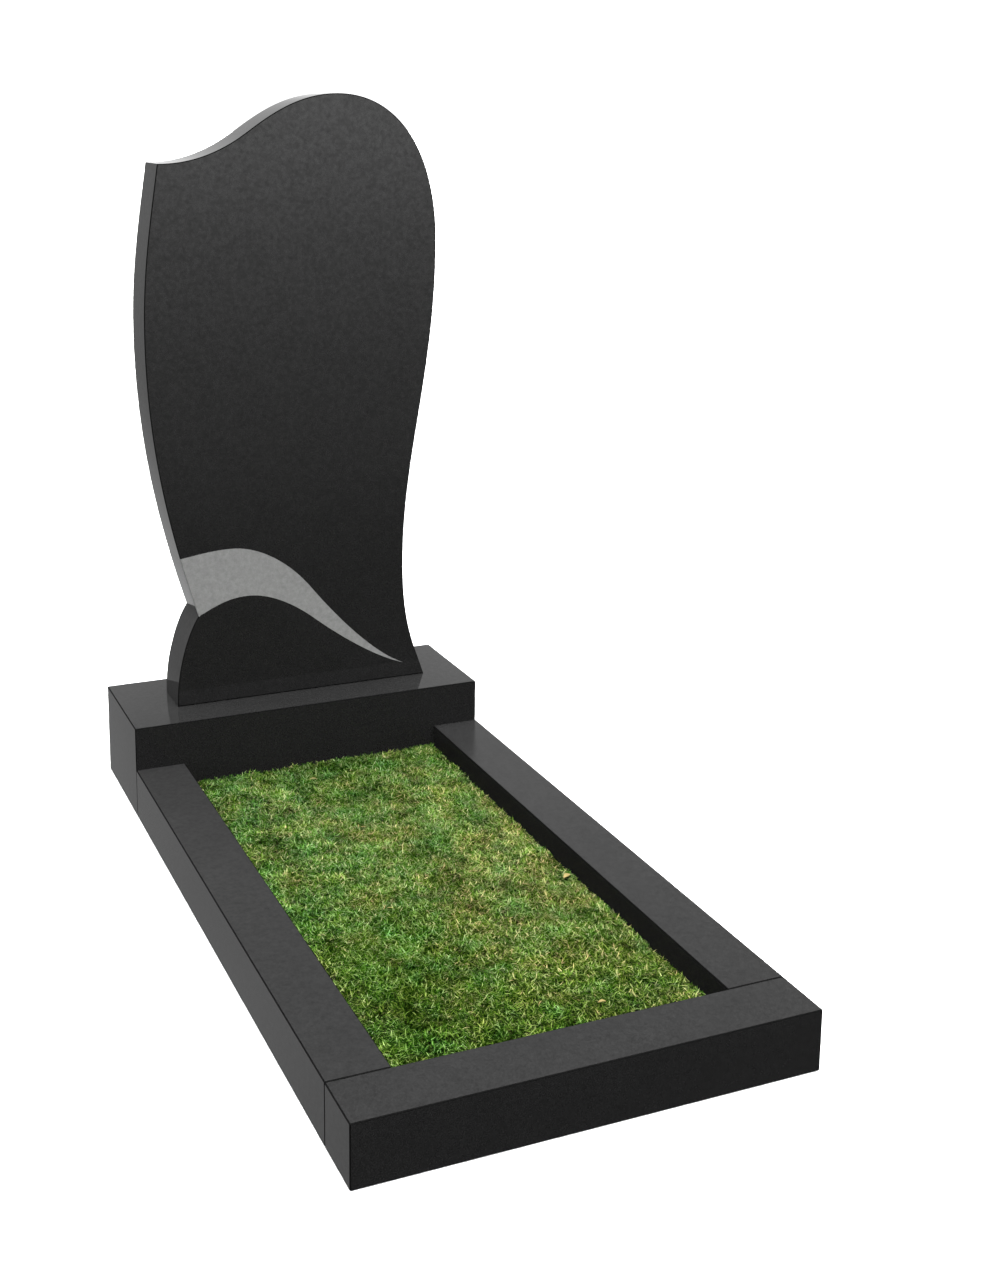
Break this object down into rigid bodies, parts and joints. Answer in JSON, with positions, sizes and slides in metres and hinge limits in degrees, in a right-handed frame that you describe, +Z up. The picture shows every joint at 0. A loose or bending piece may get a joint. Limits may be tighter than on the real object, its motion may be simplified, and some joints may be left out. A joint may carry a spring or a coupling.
{
  "type": "grave monument",
  "caption": "Low grave monument: a wave-edged polished black granite stele with a honed wave, on a plinth with a kerb frame around a bed of turf.",
  "frame": {"origin": "middle of the rectangular footprint, on the ground", "axes": "+Z up, front (the kerb end, which the stele faces) towards -Y, +X to the right seen from the front"},
  "size_m": [0.6, 1.2, 1.1503],
  "materials": {
    "polished_granite": "polished",
    "turf": "matte"
  },
  "bodies": {
    "root": {"stele": "polished_granite", "plinth": "polished_granite", "left_kerb": "polished_granite", "right_kerb": "polished_granite", "front_kerb": "polished_granite", "turf": "turf"}
  },
  "joints": []
}
